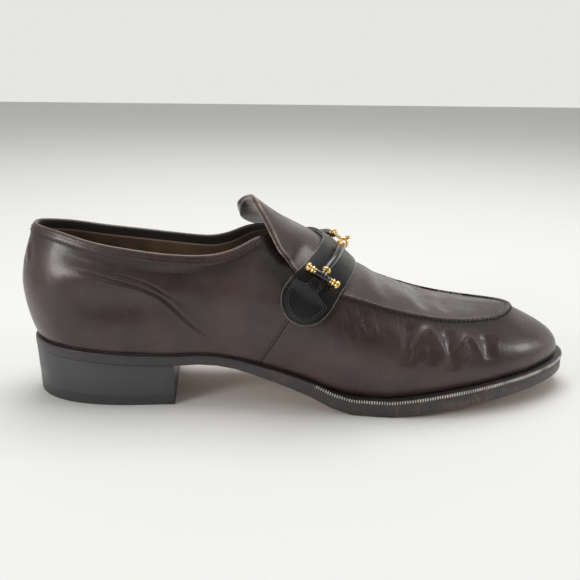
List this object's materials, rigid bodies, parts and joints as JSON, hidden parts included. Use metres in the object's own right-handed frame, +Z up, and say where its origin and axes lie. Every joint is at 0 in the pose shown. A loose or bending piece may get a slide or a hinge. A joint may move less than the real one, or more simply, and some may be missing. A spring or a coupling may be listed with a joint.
{
  "type": "horsebit loafer",
  "caption": "Right-foot leather slip-on shoe with a raised apron seam, free tongue flap, instep strap with a gilt bit, welted leather sole and stacked heel.",
  "frame": {"origin": "on the floor, on the flat underside of the heel, below its centre", "axes": "+X to the toe, +Y to the inner side of the foot, +Z up"},
  "size_m": [0.3012, 0.1021, 0.1076],
  "materials": {
    "upper_leather": "smooth calf, polished, dark brown",
    "strap_leather": "smooth black calf, satin",
    "bit_metal": "polished gilt with black enamel on the bars",
    "lining_leather": "matte lining leather, olive brown",
    "welt_leather": "waxed, wheeled, near black",
    "sole_leather": "waxed edge, tan underside",
    "heel_leather": "waxed stack, satin",
    "heel_rubber": "satin rubber"
  },
  "bodies": {
    "root": {"upper": "upper_leather", "tongue": "upper_leather", "strap": "strap_leather", "keeper_outer": "strap_leather", "keeper_inner": "strap_leather", "bit": "bit_metal", "insole": "lining_leather", "welt": "welt_leather", "outsole": "sole_leather", "heel_stack": "heel_leather", "heel_lift": "heel_rubber"}
  },
  "joints": []
}
